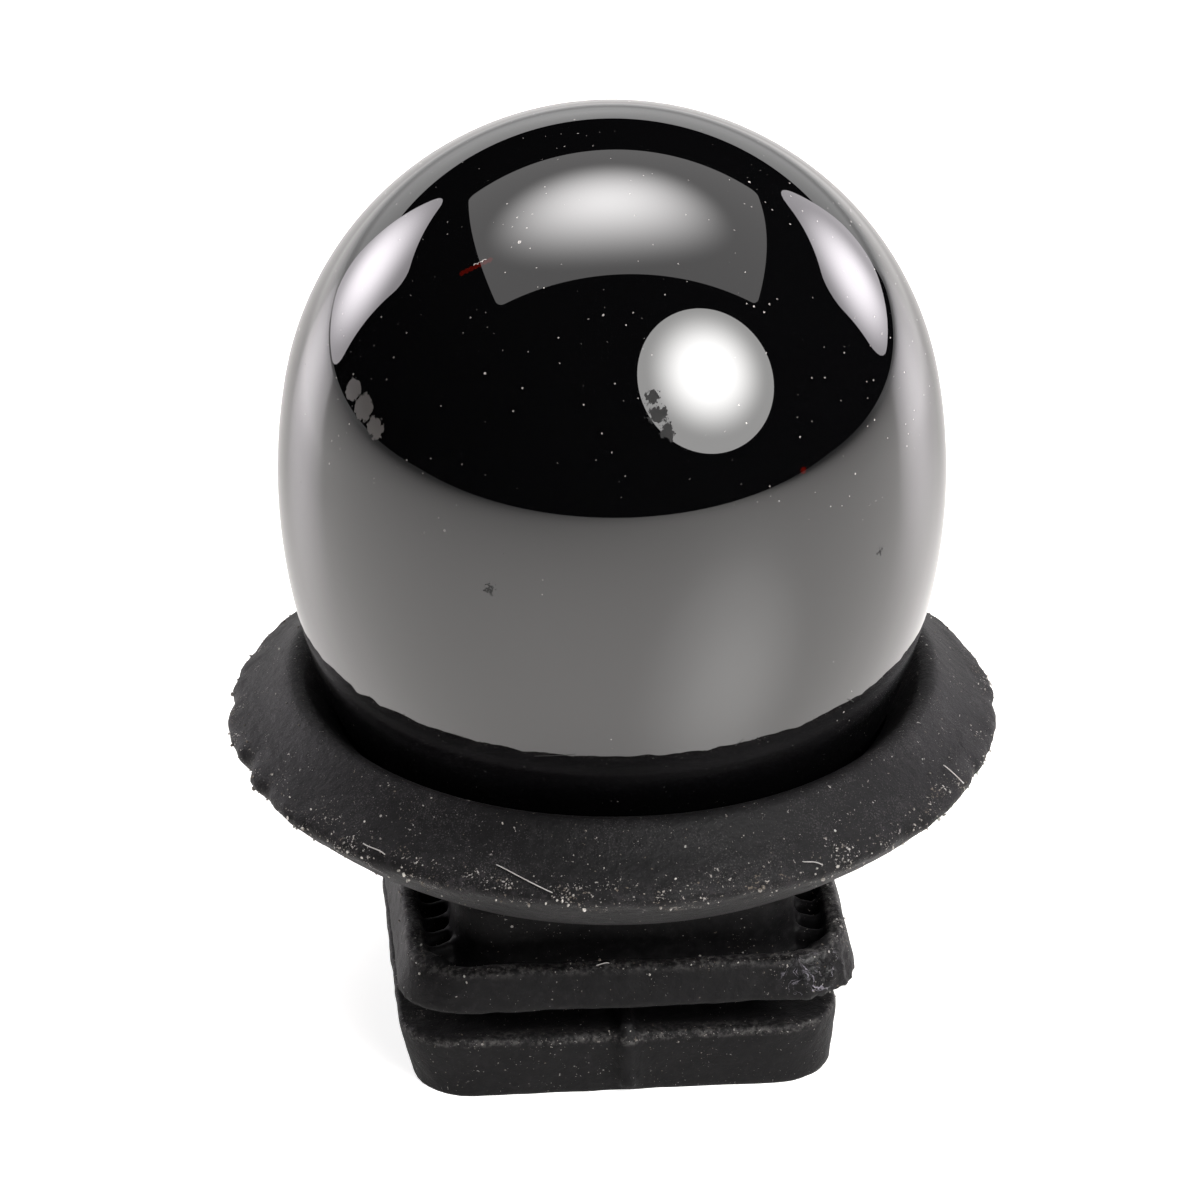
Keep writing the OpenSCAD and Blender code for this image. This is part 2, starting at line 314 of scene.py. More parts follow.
# ---------------------------------------------------------------- rubber grommet
# One moulding of soft black rubber: a round collar that grips the dome's foot, a square neck, a
# flange with an upturned lip, a groove for the panel's edge, and a square plug with a mould seam.
rim_r = rubber_high[0]
crest_z = rubber_high[2]
rim_z = crest_z - 1.68 * mm
rim_round = 0.26 * mm
crest_r = 9.60 * mm
crest_round = 0.38 * mm
recess_r = 9.25 * mm
recess_low = 8.0 * mm
recess_high = 9.55 * mm
grip_r = 8.40 * mm
grip_high = 10.17 * mm
seat_r = 8.0 * mm
seat_z = 6.9 * mm
stem_half = 4.15 * mm
neck_half = 5.2 * mm
flange_half = 6.58 * mm
flange_foot_half = 6.98 * mm
flange_z = 3.15 * mm
lip_z = 4.68 * mm
trough_z = 3.6 * mm
groove_half = 5.0 * mm
barb_half = 6.56 * mm
block_half = 6.38 * mm
block_h = 2.06 * mm


def square_block(half, corner, low, high):
    """A square block about the axis with its four upright edges rounded, left in edit mode."""
    bpy.ops.object.select_all(action="DESELECT")
    bpy.ops.mesh.primitive_cube_add(size=1, location=(0, 0, (low + high) / 2))
    block = bpy.context.object
    block.scale = (2 * half, 2 * half, high - low)
    bpy.ops.object.transform_apply(location=True, rotation=True, scale=True)
    bpy.ops.object.mode_set(mode="EDIT")
    bpy.ops.mesh.select_mode(type="EDGE")
    bpy.ops.mesh.select_all(action="DESELECT")
    bpy.ops.object.mode_set(mode="OBJECT")
    for edge in block.data.edges:
        one, other = (block.data.vertices[v].co for v in edge.vertices)
        edge.select = abs(one.z - other.z) > (high - low) / 2
    bpy.ops.object.mode_set(mode="EDIT")
    bpy.ops.mesh.bevel(offset=corner, segments=7, profile=0.5, affect="EDGES")
    return block


def pick_faces(piece, test):
    """In edit mode, selects only the faces whose middle and normal pass the test."""
    bpy.ops.mesh.select_mode(type="FACE")
    bpy.ops.mesh.select_all(action="DESELECT")
    bpy.ops.object.mode_set(mode="OBJECT")
    for face in piece.data.polygons:
        face.select = test(face.center, face.normal)
    bpy.ops.object.mode_set(mode="EDIT")


def bar(size, middle, turn=0.0):
    """A straight bar of that size about its middle, turned about the upright axis."""
    bpy.ops.object.select_all(action="DESELECT")
    bpy.ops.mesh.primitive_cube_add(size=1, location=middle, rotation=(0, 0, turn))
    strip = bpy.context.object
    strip.scale = size
    bpy.ops.object.transform_apply(location=True, rotation=True, scale=True)
    return strip


grommet = first_ring("rubber_grommet", 0.3 * mm, recess_low, 120)
draw_ring(recess_r, recess_low)
draw_ring(recess_r, recess_high)
draw_ring(grip_r, recess_high)
draw_ring(grip_r, grip_high)
draw_arc(crest_r, crest_z - crest_round, crest_round, math.radians(140), math.radians(52), 6)
draw_ring(crest_r + 1.0 * mm, crest_z - 0.78 * mm)
draw_arc(rim_r - rim_round, rim_z, rim_round, math.radians(52), math.radians(-42), 7)
for radius, height in ((10.88, 8.75), (9.99, 7.99), (9.03, 7.33)):
    draw_ring(radius * mm, height * mm)
draw_ring(seat_r, seat_z)
draw_ring(0.5 * mm, seat_z)
close_rings()
moulded = [grommet]

moulded.append(square_block(neck_half, 1.3 * mm, flange_z + 0.3 * mm, seat_z + 0.3 * mm))
bpy.ops.object.mode_set(mode="OBJECT")
moulded.append(square_block(neck_half, 1.3 * mm, 5.7 * mm, seat_z + 0.3 * mm))
pick_faces(moulded[-1], lambda middle, normal: normal.z > 0.9)
bpy.ops.transform.resize(value=(1.16, 1.16, 1), center_override=(0, 0, 0))
bpy.ops.object.mode_set(mode="OBJECT")
moulded.append(square_block(flange_foot_half, 1.9 * mm, flange_z, lip_z))
pick_faces(moulded[-1], lambda middle, normal: normal.z > 0.9)
bpy.ops.transform.resize(value=(flange_half / flange_foot_half, flange_half / flange_foot_half, 1),
                         center_override=(0, 0, 0))
bpy.ops.mesh.inset(thickness=0.48 * mm)
bpy.ops.mesh.extrude_region_move(TRANSFORM_OT_translate={"value": (0, 0, trough_z - lip_z)})
bpy.ops.object.mode_set(mode="OBJECT")
moulded.append(square_block(groove_half, 1.2 * mm, 1.0 * mm, flange_z + 0.4 * mm))
bpy.ops.object.mode_set(mode="OBJECT")
moulded.append(square_block(barb_half, 1.9 * mm, -0.2 * mm, block_h))
pick_faces(moulded[-1], lambda middle, normal: normal.z < -0.9)
bpy.ops.transform.resize(value=(block_half / barb_half, block_half / barb_half, 1),
                         center_override=(0, 0, 0))
bpy.ops.object.mode_set(mode="OBJECT")

# Slanted ribs stand in the trough behind the lip, and the mould's seam runs up the plug's middle.
rib_count = 12
rib_pitch = 0.85
rib_slant = -30
rib_reach = flange_half - neck_half
for side in (-1, 1):
    for i in range(rib_count):
        moulded.append(bar((rib_reach * 1.05, 0.3 * mm, 0.9 * mm),
                           (side * (neck_half + rib_reach / 2 - 0.12 * mm),
                            (i - (rib_count - 1) / 2) * rib_pitch * mm, trough_z + 0.25 * mm),
                           math.radians(side * rib_slant)))
for side in (-1, 1):
    moulded.append(bar((0.42 * mm, 1.0 * mm, 1.75 * mm), (0, side * (barb_half - 0.26 * mm), 1.12 * mm)))
    moulded.append(bar((0.42 * mm, 1.7 * mm, 0.5 * mm), (0, side * (groove_half + 0.7 * mm), 2.14 * mm)))
    moulded.append(bar((0.42 * mm, 0.6 * mm, 1.4 * mm), (0, side * (groove_half + 0.06 * mm), 2.6 * mm)))

bpy.ops.object.select_all(action="DESELECT")
for block in moulded:
    block.select_set(True)
bpy.context.view_layer.objects.active = grommet
bpy.ops.object.join()
socket = square_block(stem_half, 0.6 * mm, -1 * mm, 8.6 * mm)
bpy.ops.object.mode_set(mode="OBJECT")
bpy.ops.object.select_all(action="DESELECT")
grommet.select_set(True)
bpy.context.view_layer.objects.active = grommet
bpy.ops.object.modifier_add(type="BOOLEAN")
cut = grommet.modifiers[-1]
cut.operation = "DIFFERENCE"
cut.solver = "EXACT"
cut.use_self = True
cut.object = socket
bpy.ops.object.modifier_apply(modifier=cut.name)
bpy.data.objects.remove(socket)
bpy.ops.object.modifier_add(type="REMESH")
melt = grommet.modifiers[-1]
melt.mode = "VOXEL"
melt.voxel_size = 0.157 * mm
bpy.ops.object.modifier_apply(modifier=melt.name)
bpy.ops.object.modifier_add(type="SMOOTH")
soften = grommet.modifiers[-1]
soften.factor = 0.5
soften.iterations = 4
bpy.ops.object.modifier_apply(modifier=soften.name)

# The rubber is old and handled: its rim is nicked and lumpy, its lip sags a little between the
# corners, and the lip's right front corner is creased.
nicks = [(-11.43, -2.65, 0.5, -0.30), (-10.9, -4.4, 0.35, -0.18), (11.64, -0.1, 0.22, 0.10),
         (10.6, -5.0, 0.4, -0.14), (-11.6, 1.2, 0.5, -0.12), (3.5, -11.2, 0.45, -0.10),
         (-5.2, -10.5, 0.35, -0.12), (7.9, -8.6, 0.5, -0.10), (6.0, 10.1, 0.5, -0.15)]
outward = [vertex.normal.copy() for vertex in grommet.data.vertices]


def part_way(value, start, end):
    """How far value has come from start to end, held between 0 and 1."""
    return max(0.0, min(1.0, (value - start) / (end - start)))


for vertex in grommet.data.vertices:
    x, y, z = (v / mm for v in vertex.co)
    r = math.hypot(x, y)
    outside = r > 9.7 and z > 6.8 or z < 6.9 and max(abs(x), abs(y)) > 4.4
    if not outside:
        continue
    away = Vector((x / r, y / r, 0)) if z > 6.8 else outward[vertex.index]
    lump = noise.noise((x / 1.6, y / 1.6, z / 1.6)) * 0.055
    lump += noise.noise((x / 0.5, y / 0.5, z / 0.5)) * 0.028
    if z > 9.7:
        lump *= 0.05 + 0.95 * part_way(r, 11.2, 11.6)
    if r > 11 and z > 8.5:
        lump += noise.noise((x / 0.8 + 7, y / 0.8, z / 0.8)) * 0.07
        for nx, ny, reach, depth in nicks:
            gap = math.hypot(x - nx, y - ny)
            if gap < 2.5 * reach:
                lump += depth * math.exp(-(gap / reach) ** 2)
    if 3.9 < z < 5 and max(abs(x), abs(y)) > 6.0:
        vertex.co.z += noise.noise((x / 2.1, y / 2.1, 3.0)) * 0.16 * mm
        vertex.co.z -= 0.24 * part_way(y, -5.6, -6.1) * (z - 3.9) * mm
    crease = math.hypot(x - 6.0, y + 6.3)
    if crease < 1.6 and 2.9 < z < 5.2:
        fold = abs(noise.noise(((x + y) / 0.42, (x - y) / 1.5, z / 0.5)))
        lump += (0.30 * fold - 0.05) * (1 - crease / 1.6)
    if z < 2.6:
        vertex.co.x -= (0.10 + 0.32 * part_way(z, 0.2, 2.0) * part_way(x, -3.0, -6.0)) * mm
    vertex.co += away * lump * mm
for vertex in grommet.data.vertices:
    vertex.co.x = max(-rim_r, min(rim_r, vertex.co.x))
    vertex.co.y = max(-rim_r, min(rim_r, vertex.co.y))
    vertex.co.z = max(0.0, min(crest_z, vertex.co.z))
bpy.ops.object.shade_smooth()

rubber, tree, shader, place = new_finish("dusty_rubber")
x, y, z = split_axes(tree, place)
reach = figure(tree, "SQRT", plus(tree, figure(tree, "POWER", x, 2), figure(tree, "POWER", y, 2)), 0)
at_rim = steps_between(tree, reach, 10.7 * mm, 11.6 * mm)

# Dust settles on the rim and on the upper edges of the lip and the plug; the pale line along those edges
# is partly dust and partly a painted highlight.
square_reach = larger(tree, without_sign(tree, x), without_sign(tree, y))
on_block = times(tree, steps_between(tree, square_reach, 5.9 * mm, 6.2 * mm),
                 steps_between(tree, z, 6.0 * mm, 5.5 * mm))
lip_gap = without_sign(tree, less(tree, z, lip_z - 0.1 * mm))
plug_gap = without_sign(tree, less(tree, z, block_h - 0.12 * mm))
near_edge = larger(tree, steps_between(tree, lip_gap, 0.42 * mm, 0.05 * mm),
                   steps_between(tree, plug_gap, 0.20 * mm, 0.02 * mm))
at_edges = times(tree, on_block, near_edge)

# A thin film of powder, in blotches, under small ragged specks that gather in clumps.
blotch = steps_between(tree, cloud(tree, place, 1.5 * mm, 5), 0.35, 0.7)
powder = steps_between(tree, cloud(tree, place, 0.22 * mm, 5, 0.7), 0.45, 0.75)
film = times(tree, plus(tree, times(tree, blotch, 0.5), 0.35), powder)
film = times(tree, film, plus(tree, times(tree, at_rim, 1.5), 0.8))
film = plus(tree, film, times(tree, times(tree, at_edges, powder), 0.9))
clumps = steps_between(tree, cloud(tree, place, 0.9 * mm, 3), 0.48, 0.66)
gathering = times(tree, larger(tree, at_rim, times(tree, at_edges, 0.6)),
                  plus(tree, times(tree, clumps, 0.55), 0.35))
crowd = plus(tree, times(tree, clumps, 0.35), gathering)
loose = larger(tree, ragged_specks(tree, place, 0.11 * mm, crowd, 0.715),
               ragged_specks(tree, place, 0.055 * mm, crowd, 0.735))
loose = larger(tree, loose, grains(tree, place, 0.50 * mm, 0.07 * mm, 0.08))
powder_specks = times(tree, ragged_specks(tree, place, 0.05 * mm, blotch, 0.665),
                      steps_between(tree, z, 6.5 * mm, 8.5 * mm))
# Painted highlight and dust: a pale speckled line along the upper edges of the lip and the plug.
dust_and_edge_highlight = times(tree, at_edges, steps_between(tree, cloud(tree, place, 0.16 * mm, 4, 0.7), 0.42, 0.66))
base = blend_colours(tree, film, (0.0042, 0.004, 0.0045), (0.024, 0.022, 0.024))
base = blend_colours(tree, powder_specks, base, (0.034, 0.032, 0.033))
base = blend_colours(tree, dust_and_edge_highlight, base, (0.075, 0.072, 0.070))
tan = blend_colours(tree, steps_between(tree, cloud(tree, place, 0.5 * mm), 0.4, 0.6),
                    (0.12, 0.10, 0.08), (0.40, 0.38, 0.36))
skin = blend_colours(tree, loose, base, tan)

# The creased corner of the lip is scratched, in rays that spread from above it; the rays are painted
# pale, partly as scratches and partly as painted glints.
from_crease = tree.nodes.new("ShaderNodeVectorMath")
from_crease.operation = "DISTANCE"
from_crease.inputs[1].default_value = (5.55 * mm, -6.65 * mm, 4.0 * mm)
tree.links.new(place, from_crease.inputs[0])
creased = steps_between(tree, from_crease.outputs["Value"], 1.25 * mm, 0.35 * mm)
turn = figure(tree, "ARCTAN2", less(tree, z, 4.5 * mm), less(tree, x, 5.0 * mm))
turn = plus(tree, turn, times(tree, cloud(tree, place, 0.45 * mm, 3), 1.6))
rays = tree.nodes.new("ShaderNodeCombineXYZ")
tree.links.new(times(tree, turn, 0.6 * mm), rays.inputs["X"])
tree.links.new(times(tree, from_crease.outputs["Value"], 0.16), rays.inputs["Y"])
scratches_and_glints = steps_between(tree, cloud(tree, rays.outputs["Vector"], 0.13 * mm, 3, 0.6), 0.56, 0.66)
crushed = times(tree, creased, steps_between(tree, cloud(tree, place, 0.5 * mm, 3), 0.34, 0.50))
scratches_and_glints = times(tree, scratches_and_glints, crushed)
# Painted glints and scratches: pale streaks laid in colour on the crease.
tree.links.new(blend_colours(tree, scratches_and_glints, skin, (0.46, 0.43, 0.50)), shader.inputs["Base Color"])
roughness = less(tree, plus(tree, times(tree, film, 0.25), 0.55), times(tree, creased, 0.30))
tree.links.new(roughness, shader.inputs["Roughness"])
shader.inputs["Specular IOR Level"].default_value = 0.2
raise_surface(tree, shader, cloud(tree, place, 0.35 * mm, 5, 0.6), 0.05 * mm)
raise_surface(tree, shader, cloud(tree, place, 0.07 * mm, 3, 0.6), 0.012 * mm)
raise_surface(tree, shader, larger(tree, loose, scratches_and_glints), 0.03 * mm)
grommet.data.materials.clear()
grommet.data.materials.append(rubber)
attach(grommet, "root")
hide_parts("grommet")


# ---------------------------------------------------------------- grit and lint
# Loose grit lies on the rubber, thickest along the collar's rim, with some on the lip of the flange
# and on the plug's top edge. A few fibres of lint cling to the rim.
random.seed(11)
places = {"edge": [], "rim": [], "slope": [], "lip": [], "plug": []}
rests = {"edge": 150, "rim": 330, "slope": 110, "lip": 110, "plug": 40}
coarse = (0.030, 0.040, 0.050, 0.062, 0.085)
fine = (0.018, 0.022, 0.028, 0.036, 0.050)
for vertex in grommet.data.vertices:
    x, y, z = (v / mm for v in vertex.co)
    r = math.hypot(x, y)
    if r > 11.5 and 9.25 < z < 9.7:
        places["edge"].append(vertex.index)
    elif r > 11.2 and 9.0 < z < 10.1:
        places["rim"].append(vertex.index)
    elif r > 9.9 and z > 7.9:
        places["slope"].append(vertex.index)
    elif max(abs(x), abs(y)) > 5.9 and 4.1 < z < 5.0:
        places["lip"].append(vertex.index)
    elif max(abs(x), abs(y)) > 6.1 and 1.75 < z < 2.2:
        places["plug"].append(vertex.index)
bpy.ops.object.select_all(action="DESELECT")
bpy.ops.mesh.primitive_ico_sphere_add(subdivisions=1, radius=0.05 * mm,
                                      location=(-0.95 * mm, -6.62 * mm, 4.75 * mm))
grit = bpy.context.object
grit.name = "settled_grit"
bpy.ops.object.transform_apply(location=True, rotation=True, scale=True)
bpy.ops.object.mode_set(mode="EDIT")
for where in rests:
    for i in range(rests[where]):
        rest_on = random.choice(places[where])
        size = random.choice(coarse if where == "edge" else fine) * mm
        seat = grommet.data.vertices[rest_on].co + outward[rest_on] * size * 0.4
        bpy.ops.mesh.primitive_ico_sphere_add(
            subdivisions=1, radius=size, location=seat,
            rotation=(random.uniform(0, 3), random.uniform(0, 3), random.uniform(0, 3)),
            scale=(1, random.uniform(0.5, 1), random.uniform(0.4, 0.8)))
bpy.ops.object.mode_set(mode="OBJECT")
mineral, tree, shader, place = new_finish("grit")
shade = steps_between(tree, cloud(tree, place, 0.25 * mm, 2), 0.35, 0.65)
stone = blend_colours(tree, shade, (0.10, 0.085, 0.07), (0.52, 0.50, 0.47))
tree.links.new(stone, shader.inputs["Base Color"])
shader.inputs["Roughness"].default_value = 0.8
grit.data.materials.append(mineral)
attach(grit, "root")

# Each fibre is a thin round thread through four knots, in millimetres.
fibres = (
    ((-4.26, -10.20, 10.26), (-3.95, -10.45, 10.22), (-3.45, -10.83, 10.04), (-2.72, -11.30, 9.88)),
    ((-1.05, -6.66, 4.58), (-0.92, -6.76, 4.68), (-0.74, -6.66, 4.70), (-0.66, -6.52, 4.56)),
    ((4.60, -10.30, 9.98), (4.86, -10.42, 9.99), (5.02, -10.32, 10.02), (5.25, -10.44, 9.90)),
    ((-8.02, -8.18, 10.00), (-7.86, -8.42, 9.98), (-7.60, -8.54, 10.02), (-7.42, -8.78, 9.94)),
    ((9.42, -5.60, 10.34), (9.66, -5.74, 10.20), (9.86, -5.96, 10.04), (9.98, -6.02, 9.92)),
    ((2.4, 10.60, 10.26), (2.1, 10.82, 10.12), (1.7, 10.90, 10.12), (1.2, 11.16, 9.98)))
lint = None
for knots in fibres:
    bpy.ops.object.select_all(action="DESELECT")
    bpy.ops.curve.primitive_nurbs_path_add()
    fibre = bpy.context.object
    bpy.ops.object.mode_set(mode="EDIT")
    bpy.ops.curve.select_all(action="DESELECT")
    fibre.data.splines[0].points[4].select = True
    bpy.ops.curve.delete(type="VERT")
    bpy.ops.object.mode_set(mode="OBJECT")
    for point, knot in zip(fibre.data.splines[0].points, knots):
        point.co = (*(v * mm for v in knot), 1)
    fibre.data.splines[0].resolution_u = 5
    fibre.data.bevel_depth = 0.016 * mm
    fibre.data.bevel_resolution = 1
    bpy.ops.object.convert(target="MESH")
    if lint:
        lint.select_set(True)
        bpy.context.view_layer.objects.active = lint
        bpy.ops.object.join()
    lint = bpy.context.object
lint.name = "lint_fibres"
fibre_finish, tree, shader, place = new_finish("lint")
cotton = blend_colours(tree, cloud(tree, place, 0.3 * mm), (0.35, 0.34, 0.33), (0.62, 0.60, 0.58))
tree.links.new(cotton, shader.inputs["Base Color"])
shader.inputs["Roughness"].default_value = 0.9
lint.data.materials.append(fibre_finish)
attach(lint, "root")


# ---------------------------------------------------------------- housing and seals
# The housing is one moulding of black nylon with a finely sparked skin. A rubber ring seals it in
# the dome's foot, and dark resin is cast round the pins in its well.
def plain_finish(name, dark, light, grain, rough, rough_more, metal=0.0, depth=0.0):
    """An even finish: two close colours in soft clouds, and a roughness that varies with them."""
    finish, tree, shader, place = new_finish(name)
    mottle = steps_between(tree, cloud(tree, place, grain, 5), 0.3, 0.7)
    tree.links.new(blend_colours(tree, mottle, dark, light), shader.inputs["Base Color"])
    roughness = plus(tree, times(tree, mottle, rough_more), rough)
    tree.links.new(roughness, shader.inputs["Roughness"])
    shader.inputs["Metallic"].default_value = metal
    if depth:
        raise_surface(tree, shader, cloud(tree, place, grain * 0.3, 3), depth)
    return finish


def coat(node, finish):
    """Gives a CAD node its finish in every slot."""
    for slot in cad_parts[node].material_slots:
        slot.material = finish


coat("sensor_housing", plain_finish("sparked_nylon", (0.020, 0.020, 0.022), (0.034, 0.034, 0.036),
                                    0.4 * mm, 0.48, 0.16, depth=0.015 * mm))
coat("dome_seal", plain_finish("seal_rubber", (0.012, 0.012, 0.012), (0.022, 0.022, 0.022),
                               0.5 * mm, 0.5, 0.2))
coat("pin_seal", plain_finish("cast_resin", (0.050, 0.030, 0.020), (0.095, 0.060, 0.042),
                              1.2 * mm, 0.12, 0.10))


# ---------------------------------------------------------------- pins and solder
# The three pins are tinned brass, drawn and cut, so their skin is streaked along their length.
# Solder stands round them where they come through the board.
tinned, tree, shader, place = new_finish("tinned_brass")
along = tree.nodes.new("ShaderNodeMapping")
along.inputs["Scale"].default_value = (1, 1, 0.08)
tree.links.new(place, along.inputs["Vector"])
streak = steps_between(tree, cloud(tree, along.outputs["Vector"], 0.12 * mm, 4), 0.35, 0.65)
tin = blend_colours(tree, streak, (0.70, 0.68, 0.62), (0.84, 0.82, 0.77))
tree.links.new(tin, shader.inputs["Base Color"])
tree.links.new(plus(tree, times(tree, streak, 0.12), 0.22), shader.inputs["Roughness"])
shader.inputs["Metallic"].default_value = 1.0
for node in ("terminal_pin_left", "terminal_pin_common", "terminal_pin_right"):
    coat(node, tinned)
coat("solder_joints", plain_finish("solder", (0.66, 0.66, 0.68), (0.80, 0.80, 0.82),
                                   0.3 * mm, 0.20, 0.15, metal=1.0))


# ---------------------------------------------------------------- board and its parts
# The board is green-masked glass laminate, with paler copper showing under the mask. On it stand
# two photodiodes in dark resin, a black ring with a wall, and a milky cap over the ring.
coat("circuit_board", plain_finish("solder_mask", (0.018, 0.120, 0.050), (0.050, 0.215, 0.095),
                                   0.9 * mm, 0.28, 0.14))
coat("photodiode_left", plain_finish("filter_resin", (0.045, 0.036, 0.032), (0.075, 0.060, 0.054),
                                     0.6 * mm, 0.10, 0.10))
coat("photodiode_right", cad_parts["photodiode_left"].material_slots[0].material)
coat("light_baffle", plain_finish("dead_black", (0.014, 0.014, 0.014), (0.022, 0.022, 0.022),
                                  0.3 * mm, 0.75, 0.15, depth=0.02 * mm))
coat("diffuser", plain_finish("milky_cap", (0.82, 0.82, 0.79), (0.88, 0.88, 0.86), 1.5 * mm, 0.38, 0.12))


def ended_finish(name, body_low, body_high, middle, along_y, half, rough):
    """A chip's finish: a moulded or fired body between tinned ends, half the body's length away."""
    finish = plain_finish(name, body_low, body_high, 0.25 * mm, rough, 0.15)
    tree = finish.node_tree
    shader = tree.nodes["Principled BSDF"]
    x, y, z = split_axes(tree, tree.nodes["Texture Coordinate"].outputs["Object"])
    off = less(tree, y if along_y else x, middle)
    at_end = figure(tree, "GREATER_THAN", without_sign(tree, off), half)
    body = shader.inputs["Base Color"].links[0].from_socket
    tree.links.new(blend_colours(tree, at_end, body, (0.74, 0.74, 0.75)), shader.inputs["Base Color"])
    tree.links.new(at_end, shader.inputs["Metallic"])
    return finish


fired = ((0.42, 0.31, 0.21), (0.55, 0.42, 0.30))
epoxy = ((0.022, 0.022, 0.024), (0.036, 0.036, 0.039))
small_body = 0.512 * mm
resistor = ended_finish("resistor_body", *epoxy, -1.2 * mm, True, small_body, 0.35)
coat("load_resistor_left", resistor)
coat("load_resistor_right", resistor)
coat("filter_capacitor", ended_finish("filter_ceramic", *fired, -0.9 * mm, False, small_body, 0.40))
coat("supply_capacitor", ended_finish("supply_ceramic", *fired, 1.3 * mm, False, small_body, 0.40))
coat("protection_diode", ended_finish("diode_epoxy", *epoxy, 0, False, 0.64 * mm, 0.50))
coat("amplifier_chip", ended_finish("amplifier_epoxy", *epoxy, -1.3 * mm, True, 0.805 * mm, 0.50))


# ---------------------------------------------------------------- studio
# A pale sheet under and behind the sensor, one large soft light overhead, one at each side behind,
# and a round lamp at the front right. The room is dark, as the polished dome shows.
table_w = 2.4
table_front = -0.36
table_back = 1.2
sweep_r = 0.2
upright_h = 0.22
bpy.ops.object.select_all(action="DESELECT")
bpy.ops.mesh.primitive_plane_add(size=1, location=(0, (table_front + table_back) / 2, 0))
table = bpy.context.object
table.name = "pale_table"
table.scale = (table_w, table_back - table_front, 1)
bpy.ops.object.transform_apply(location=True, rotation=True, scale=True)
bpy.ops.object.mode_set(mode="EDIT")
bpy.ops.mesh.select_mode(type="EDGE")
bpy.ops.mesh.select_all(action="DESELECT")
bpy.ops.object.mode_set(mode="OBJECT")
for edge in table.data.edges:
    edge.select = all(table.data.vertices[v].co.y > 1 for v in edge.vertices)
bpy.ops.object.mode_set(mode="EDIT")
for i in range(1, 9):
    a = math.pi / 2 * i / 8
    b = math.pi / 2 * (i - 1) / 8
    bpy.ops.mesh.extrude_region_move(TRANSFORM_OT_translate={
        "value": (0, sweep_r * (math.sin(a) - math.sin(b)), sweep_r * (math.cos(b) - math.cos(a)))})
bpy.ops.mesh.extrude_region_move(TRANSFORM_OT_translate={"value": (0, 0, upright_h)})
bpy.ops.object.mode_set(mode="OBJECT")
bpy.ops.object.shade_smooth()
sheet_finish, tree, shader, place = new_finish("pale_sheet")
off_centre = tree.nodes.new("ShaderNodeVectorMath")
off_centre.operation = "LENGTH"
tree.links.new(place, off_centre.inputs[0])
away = steps_between(tree, off_centre.outputs["Value"], 0.06, 0.6)
x, y, z = split_axes(tree, place)
behind = steps_between(tree, y, 0.0, 0.2)
risen = steps_between(tree, z, 0.0, 0.12)
seen = tree.nodes.new("ShaderNodeLightPath").outputs["Is Camera Ray"]

# The sheet is white to the eye, but greyer close behind the sensor where its own skin mirrors it: there,
# away from the camera's direct view, the sheet carries painted shade in its colour and a weaker glow.
rear = times(tree, steps_between(tree, y, 0.012, 0.04), steps_between(tree, y, 0.40, 0.20))
rear = times(tree, rear, steps_between(tree, without_sign(tree, x), 0.075, 0.045))
shaded = times(tree, rear, less(tree, 1.0, seen))
# Painted shade: the sheet's colour darkens with distance from the sensor, as if less light reached it.
sheet_colour = blend_colours(tree, away, (0.88, 0.86, 0.84), (0.37, 0.36, 0.355))
sheet_colour = blend_colours(tree, times(tree, shaded, 0.34), sheet_colour, (0, 0, 0))
tree.links.new(sheet_colour, shader.inputs["Base Color"])
shader.inputs["Roughness"].default_value = 0.24
shader.inputs["Specular IOR Level"].default_value = 0.85
shader.inputs["Emission Color"].default_value = (1, 1, 1, 1)
# The sheet glows though it is no lamp: a painted pool of light strongest round the sensor and fainter far
# off in front, stronger on the upright, and brighter still to the camera so that cast shadows wash out.
fading = less(tree, 0.18, times(tree, behind, 0.22))
glow = less(tree, 0.30, times(tree, away, fading))
glow = plus(tree, glow, times(tree, risen, 0.5))
glow = less(tree, glow, times(tree, shaded, 0.15))
glow = plus(tree, glow, times(tree, seen, 0.5))
tree.links.new(glow, shader.inputs["Emission Strength"])
table.data.materials.append(sheet_finish)


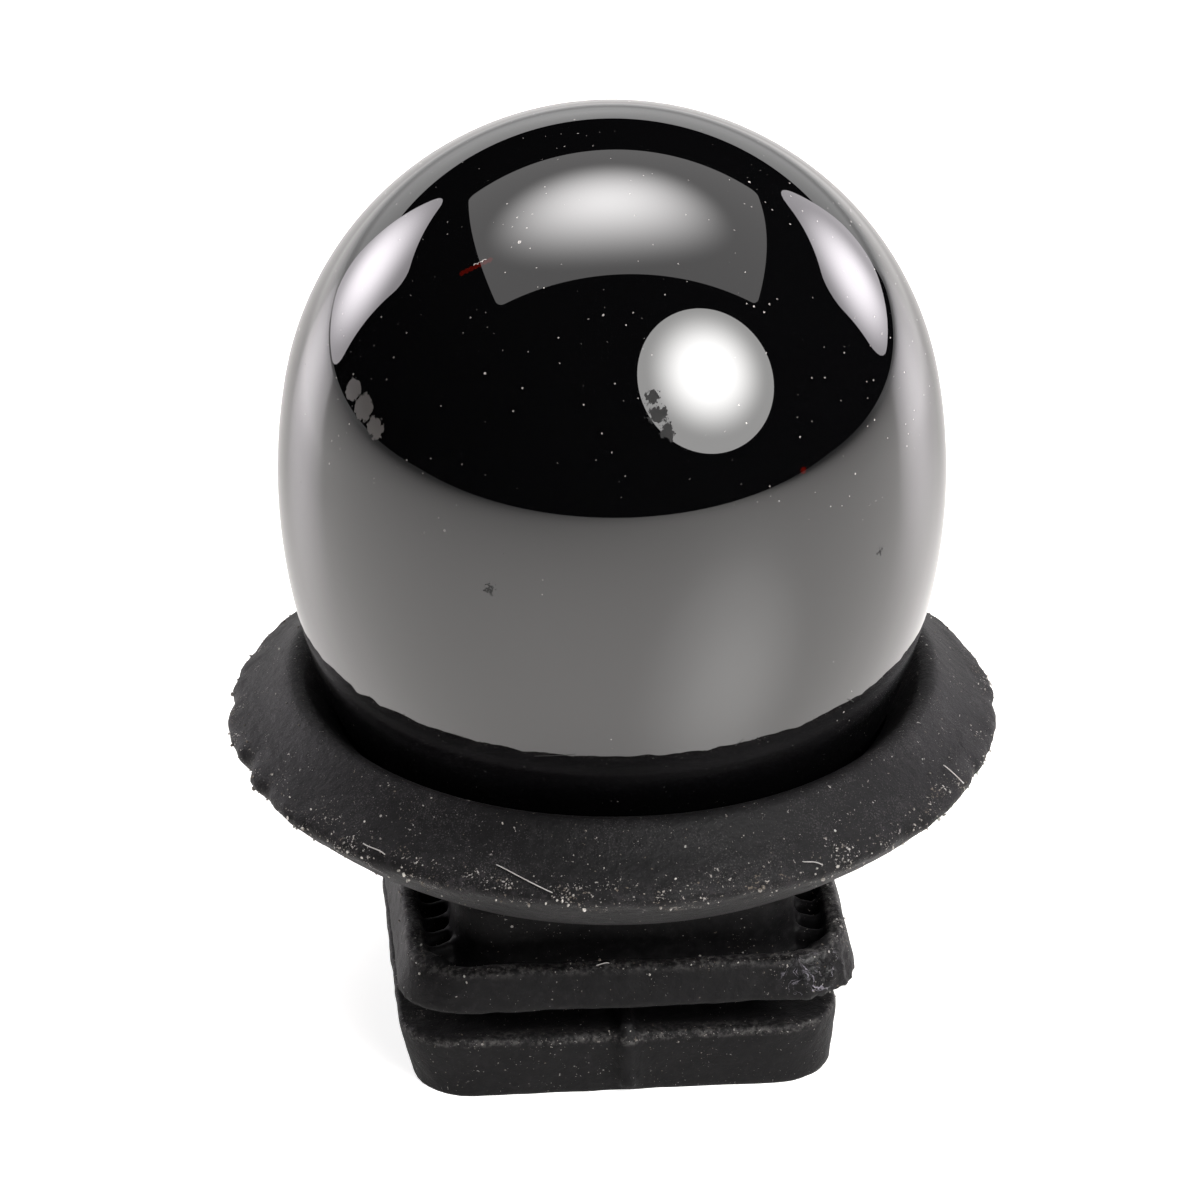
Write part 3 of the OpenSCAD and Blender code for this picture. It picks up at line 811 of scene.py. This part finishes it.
def soft_light(name, centre, size, corner, hot, reach, steady, edge, middle, tint, faces=None,
               round_shape=False):
    """A lit panel. It is brightest at hot, in its own plane, and fades to the edge value at reach."""
    bpy.ops.object.select_all(action="DESELECT")
    if round_shape:
        bpy.ops.mesh.primitive_circle_add(vertices=96, radius=size[0] / 2, fill_type="TRIFAN")
    else:
        bpy.ops.mesh.primitive_plane_add(size=1)
    panel = bpy.context.object
    panel.name = name
    if not round_shape:
        panel.scale = (size[0], size[1], 1)
        bpy.ops.object.transform_apply(location=True, rotation=True, scale=True)
        bpy.ops.object.mode_set(mode="EDIT")
        bpy.ops.mesh.select_all(action="SELECT")
        bpy.ops.mesh.bevel(offset=corner, segments=6, affect="VERTICES")
        bpy.ops.object.mode_set(mode="OBJECT")
    panel.location = centre
    if faces:
        panel.rotation_euler = (Vector(faces) - Vector(centre)).to_track_quat("Z", "Y").to_euler()
    finish = bpy.data.materials.new(name)
    finish.use_nodes = True
    tree = finish.node_tree
    tree.nodes.remove(tree.nodes["Principled BSDF"])
    glow = tree.nodes.new("ShaderNodeEmission")
    glow.inputs["Color"].default_value = (*tint, 1)
    tree.links.new(glow.outputs["Emission"], tree.nodes["Material Output"].inputs["Surface"])
    place = tree.nodes.new("ShaderNodeTexCoord").outputs["Object"]
    shrink = tree.nodes.new("ShaderNodeMapping")
    shrink.vector_type = "TEXTURE"
    shrink.inputs["Location"].default_value = (hot[0], hot[1], 0)
    shrink.inputs["Scale"].default_value = (reach[0], reach[1], 1)
    tree.links.new(place, shrink.inputs["Vector"])
    far_out = tree.nodes.new("ShaderNodeVectorMath")
    far_out.operation = "LENGTH"
    tree.links.new(shrink.outputs["Vector"], far_out.inputs[0])
    fade = steps_between(tree, far_out.outputs["Value"], steady, 1.0)
    strength = plus(tree, times(tree, fade, edge - middle), middle)
    tree.links.new(strength, glow.inputs["Strength"])
    panel.data.materials.append(finish)


def stand_at(turn, up, distance):
    """A place that far from the dome, turned from the front and up from level, in degrees."""
    turn, up = math.radians(turn), math.radians(up)
    return (distance * math.sin(turn) * math.cos(up), -distance * math.cos(turn) * math.cos(up),
            widest_z + distance * math.sin(up))


middle_of_dome = (0, 0, widest_z)
soft_light("overhead_light", centre=(0.06, 0.2575, 0.538), size=(0.90, 0.685), corner=0.03,
           hot=(-0.055, -0.0625), reach=(0.37, 0.27), steady=0.0, edge=0.9, middle=8.3,
           tint=(1.0, 0.98, 0.98))
soft_light("left_light", centre=stand_at(-135, 14, 0.8), size=(0.40, 0.42), corner=0.07,
           hot=(0.01, 0), reach=(0.24, 0.24), steady=0.1, edge=2.0, middle=7.2,
           tint=(1.02, 0.97, 1.02), faces=middle_of_dome)
soft_light("right_light", centre=stand_at(126, 14.2, 0.8), size=(0.49, 0.35), corner=0.10,
           hot=(0.04, 0), reach=(0.25, 0.22), steady=0.1, edge=2.0, middle=7.4,
           tint=(1.02, 0.97, 1.02), faces=middle_of_dome)
soft_light("round_lamp", centre=stand_at(37, 37.5, 0.5), size=(0.44, 0.44), corner=0,
           hot=(-0.01, 0.020), reach=(0.20, 0.20), steady=0.20, edge=3.3, middle=13.5,
           tint=(1.0, 0.99, 0.98), faces=middle_of_dome, round_shape=True)

# The room is near black to the mirroring dome, and white where the camera itself looks into it.
world = bpy.data.worlds.new("dark_room")
bpy.context.scene.world = world
world.use_nodes = True
tree = world.node_tree
seen = tree.nodes.new("ShaderNodeLightPath").outputs["Is Camera Ray"]
room = tree.nodes["Background"]
room_colour = blend_colours(tree, seen, (0.0012, 0.0012, 0.0013), (1.0, 1.0, 1.0))
tree.links.new(room_colour, room.inputs["Color"])
room.inputs["Strength"].default_value = 1.0
bpy.context.scene.view_settings.view_transform = "Standard"
